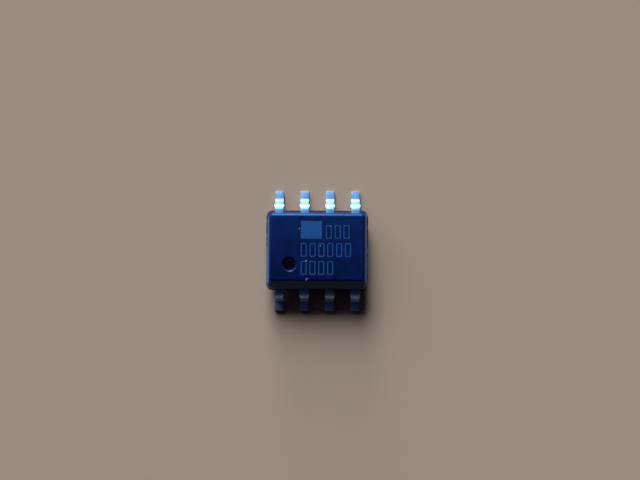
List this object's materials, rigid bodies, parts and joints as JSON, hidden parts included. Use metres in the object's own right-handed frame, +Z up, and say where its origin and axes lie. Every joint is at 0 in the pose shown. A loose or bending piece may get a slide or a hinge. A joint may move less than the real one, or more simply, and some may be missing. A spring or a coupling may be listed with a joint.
{
  "type": "small-outline integrated circuit chip",
  "caption": "Surface-mount chip: black moulded body with a bevelled edge and a round pin 1 dimple, on bent gull-wing leads that solder flat onto a board.",
  "frame": {"origin": "on the board's surface, under the middle of the body", "axes": "+X along the body's long side, +Y across the leads, towards pins 5 to 8 and away from the bevelled pin 1 edge, +Z up from the board"},
  "size_m": [0.0052, 0.006, 0.0016],
  "materials": {
    "mould_resin": "fine moulded texture",
    "tin_plating": "matte tin plating",
    "copper_frame": "bare stamped copper alloy",
    "silver_adhesive": "silver-filled epoxy",
    "silicon": "polished silicon",
    "gold": "drawn gold wire"
  },
  "bodies": {
    "root": {"body": "mould_resin", "die_paddle": "copper_frame", "die_attach": "silver_adhesive", "die": "silicon", "lead_1": "tin_plating", "lead_2": "tin_plating", "lead_3": "tin_plating", "lead_4": "tin_plating", "lead_5": "tin_plating", "lead_6": "tin_plating", "lead_7": "tin_plating", "lead_8": "tin_plating", "wire_2": "gold", "wire_3": "gold", "wire_4": "gold", "wire_5": "gold", "wire_6": "gold", "wire_7": "gold"}
  },
  "joints": []
}
